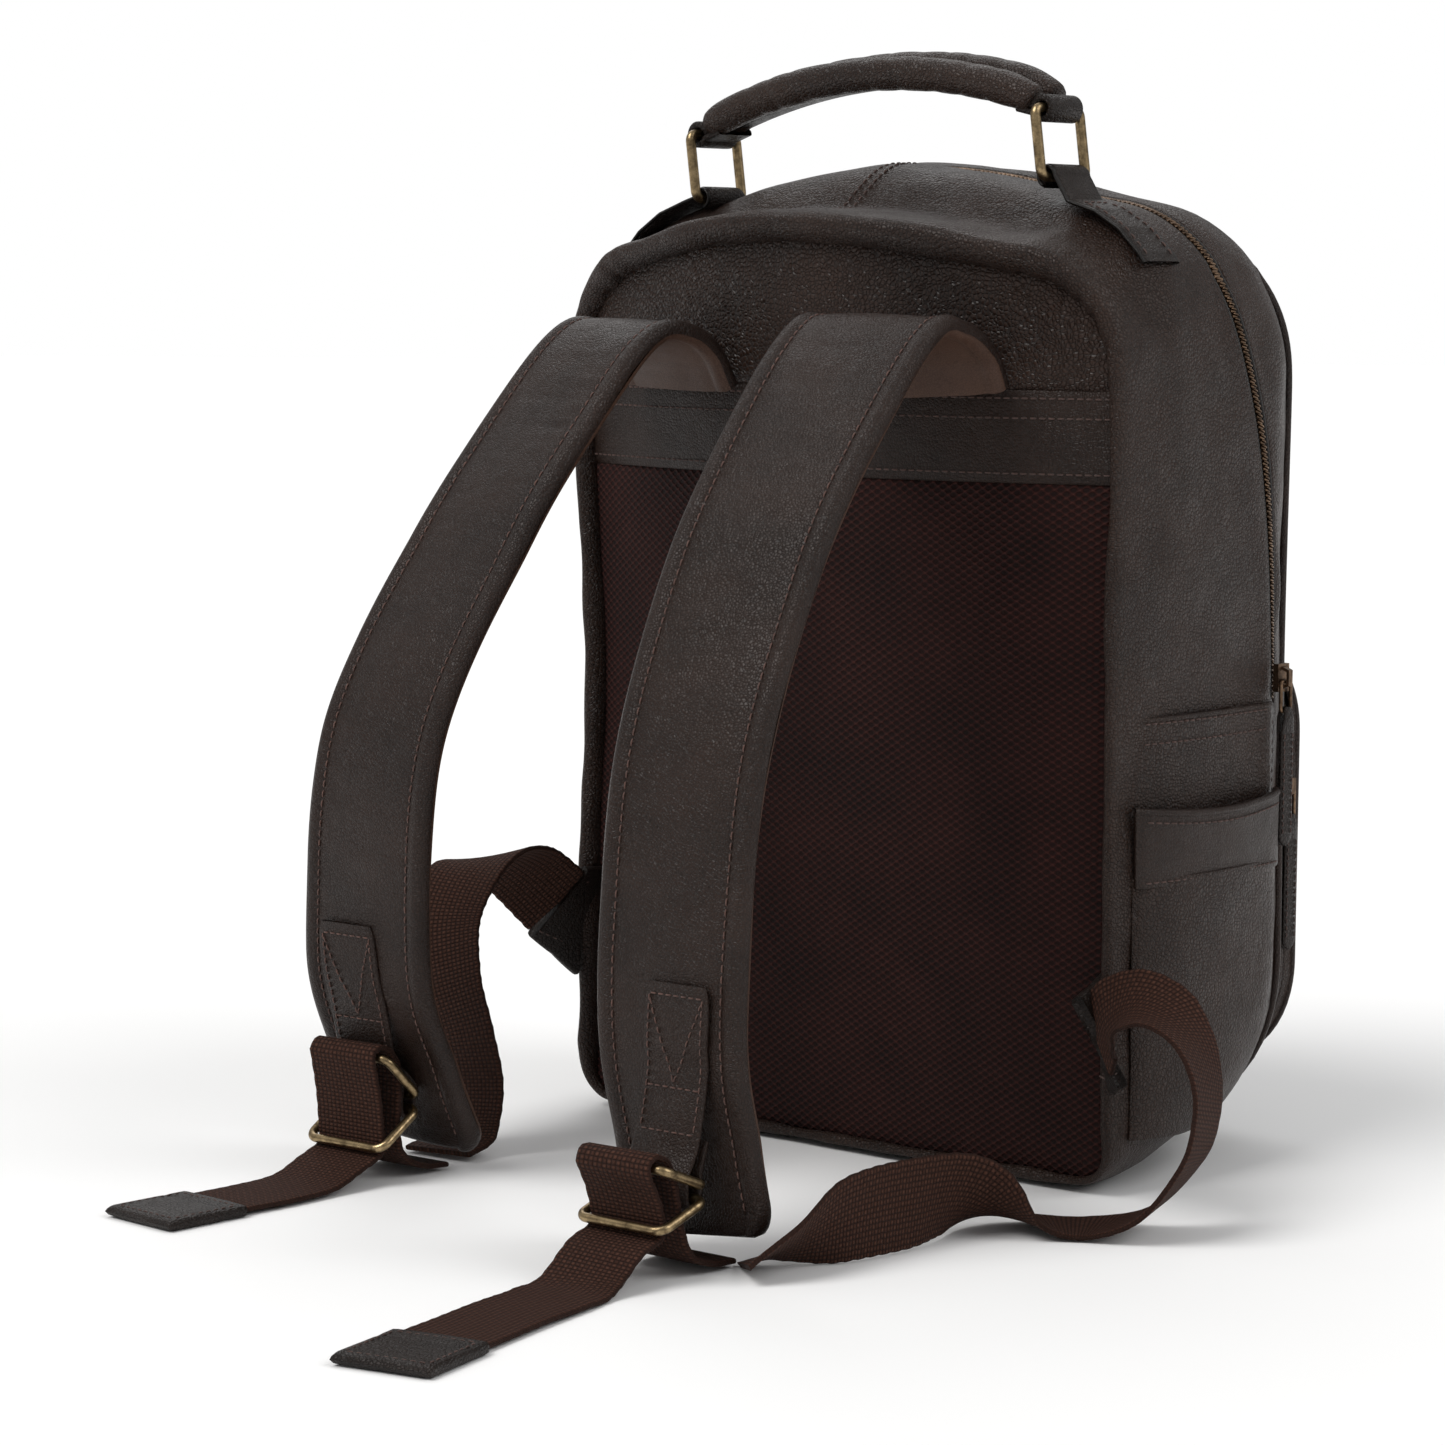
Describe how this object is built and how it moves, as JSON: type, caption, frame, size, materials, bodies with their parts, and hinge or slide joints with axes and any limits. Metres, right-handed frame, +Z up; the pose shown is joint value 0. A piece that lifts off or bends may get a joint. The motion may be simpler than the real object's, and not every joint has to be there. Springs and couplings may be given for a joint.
{
  "type": "backpack",
  "caption": "Structured leather backpack with padded shoulder straps, ring-mounted top handle, zipped front pocket and side slip pockets.",
  "frame": {"origin": "centre of the base on the floor, midway between the side seams", "axes": "+Z up, -Y towards the shoulder straps and the wearer, +Y towards the front pocket, +X to the right seen from the wearer's side"},
  "size_m": [0.3958, 0.5615, 0.4732],
  "materials": {
    "leather": "pebbled, satin",
    "pull_leather": "smooth, painted edges",
    "air_mesh": "spacer mesh",
    "lining": "plain woven",
    "zipper_tape": "woven",
    "strap_lining": "smooth",
    "webbing": "coarse woven",
    "foam": "soft closed-cell foam",
    "zipper_teeth": "antique copper",
    "antique_brass": "antique, satin",
    "board": "matte"
  },
  "bodies": {
    "bag": {"gusset_right": "leather", "gusset_left": "leather", "base_panel": "leather", "front_gusset": "leather", "front_panel": "leather", "strap_anchor_band": "leather", "back_yoke": "leather", "edge_roll_left": "leather", "edge_roll_right": "leather", "side_panel_left": "leather", "side_panel_right": "leather", "side_pocket_left": "leather", "side_pocket_right": "leather", "side_pocket_band_left": "leather", "side_pocket_band_right": "leather", "front_pocket_gusset": "leather", "front_pocket_panel": "leather", "handle_anchor_left": "leather", "handle_anchor_right": "leather", "corner_tab_left": "leather", "corner_tab_right": "leather", "mesh_back_panel": "air_mesh", "body_lining": "lining", "main_zipper_tape": "zipper_tape", "pocket_zipper_tape": "zipper_tape", "webbing_left_lower": "webbing", "webbing_right_lower": "webbing", "back_foam_pad": "foam", "laptop_divider": "lining", "main_zipper_teeth": "zipper_teeth", "pocket_zipper_teeth": "zipper_teeth", "back_board": "board", "base_board": "board"},
    "handle_ring_right_body": {"handle_ring_right": "antique_brass"},
    "handle_ring_left_body": {"handle_ring_left": "antique_brass"},
    "handle": {"handle_strap": "leather", "handle_roll_front": "leather", "handle_roll_rear": "leather"},
    "main_slider_body": {"main_slider": "antique_brass"},
    "main_pull": {"main_pull_link": "antique_brass", "main_pull_tab": "pull_leather"},
    "pocket_slider_body": {"pocket_slider": "antique_brass"},
    "pocket_pull": {"pocket_pull_link": "antique_brass", "pocket_pull_tab": "pull_leather"},
    "strap_right": {"strap_right_leather": "leather", "strap_right_foam": "foam", "strap_right_lining": "strap_lining", "strap_right_tab": "leather", "webbing_right_tail": "webbing", "webbing_right_tip": "leather"},
    "cinch_upper_right": {"cinch_ring_upper_right": "antique_brass"},
    "cinch_lower_right": {"cinch_ring_lower_right": "antique_brass"},
    "strap_left": {"strap_left_leather": "leather", "strap_left_foam": "foam", "strap_left_lining": "strap_lining", "strap_left_tab": "leather", "webbing_left_tail": "webbing", "webbing_left_tip": "leather"},
    "cinch_upper_left": {"cinch_ring_upper_left": "antique_brass"},
    "cinch_lower_left": {"cinch_ring_lower_left": "antique_brass"}
  },
  "joints": [
    {"name": "ring_right_swing", "type": "hinge", "parent": "bag", "child": "handle_ring_right_body", "pos_m": [0.095, -0.035, 0.4204], "axis": [0, 1, 0], "range_deg": [-30, 45]},
    {"name": "ring_left_swing", "type": "hinge", "parent": "bag", "child": "handle_ring_left_body", "pos_m": [-0.095, -0.035, 0.4128], "axis": [0, 1, 0], "range_deg": [-30, 45]},
    {"name": "handle_tilt", "type": "hinge", "parent": "handle_ring_right_body", "child": "handle", "pos_m": [0.09103, -0.035, 0.44862], "axis": [0, 1, 0], "range_deg": [-45, 30]},
    {"name": "main_slider_travel", "type": "slide", "parent": "bag", "child": "main_slider_body", "axis": [0, -0.035, 0.9994], "range_m": [0, 0.014]},
    {"name": "main_pull_swing", "type": "hinge", "parent": "main_slider_body", "child": "main_pull", "pos_m": [0.15435, 0.05, 0.2076], "axis": [0, -1, 0], "range_deg": [0, 120]},
    {"name": "pocket_slider_travel", "type": "slide", "parent": "bag", "child": "pocket_slider_body", "axis": [0, 0, 1], "range_m": [0, 0.025]},
    {"name": "pocket_pull_swing", "type": "hinge", "parent": "pocket_slider_body", "child": "pocket_pull", "pos_m": [0.13515, 0.084, 0.1566], "axis": [0, -1, 0], "range_deg": [0, 120]},
    {"name": "strap_right_lift", "type": "hinge", "parent": "bag", "child": "strap_right", "pos_m": [0.068, -0.086, 0.334], "axis": [-0.9744, -0.225, 0], "range_deg": [0, 25], "deforming": ["webbing_right_lower"]},
    {"name": "cinch_upper_right_swing", "type": "hinge", "parent": "strap_right", "child": "cinch_upper_right", "pos_m": [0.096, -0.284, 0.0359], "axis": [0.9998, 0.0175, 0], "range_deg": [-8, 8], "deforming": ["webbing_right_tail"]},
    {"name": "cinch_lower_right_swing", "type": "hinge", "parent": "strap_right", "child": "cinch_lower_right", "pos_m": [0.096, -0.284, 0.0301], "axis": [0.9998, 0.0175, 0], "range_deg": [-8, 8]},
    {"name": "strap_left_lift", "type": "hinge", "parent": "bag", "child": "strap_left", "pos_m": [-0.068, -0.086, 0.334], "axis": [-0.9848, 0.1736, 0], "range_deg": [0, 25], "deforming": ["webbing_left_lower"]},
    {"name": "cinch_upper_left_swing", "type": "hinge", "parent": "strap_left", "child": "cinch_upper_left", "pos_m": [-0.108, -0.234, 0.0359], "axis": [0.9994, 0.0349, 0], "range_deg": [-8, 8], "deforming": ["webbing_left_tail"]},
    {"name": "cinch_lower_left_swing", "type": "hinge", "parent": "strap_left", "child": "cinch_lower_left", "pos_m": [-0.108, -0.234, 0.0301], "axis": [0.9994, 0.0349, 0], "range_deg": [-8, 8]}
  ],
  "couplings": [
    {"joint": "ring_left_swing", "follows": "ring_right_swing", "ratio": 1},
    {"joint": "handle_tilt", "follows": "ring_right_swing", "ratio": -1}
  ]
}
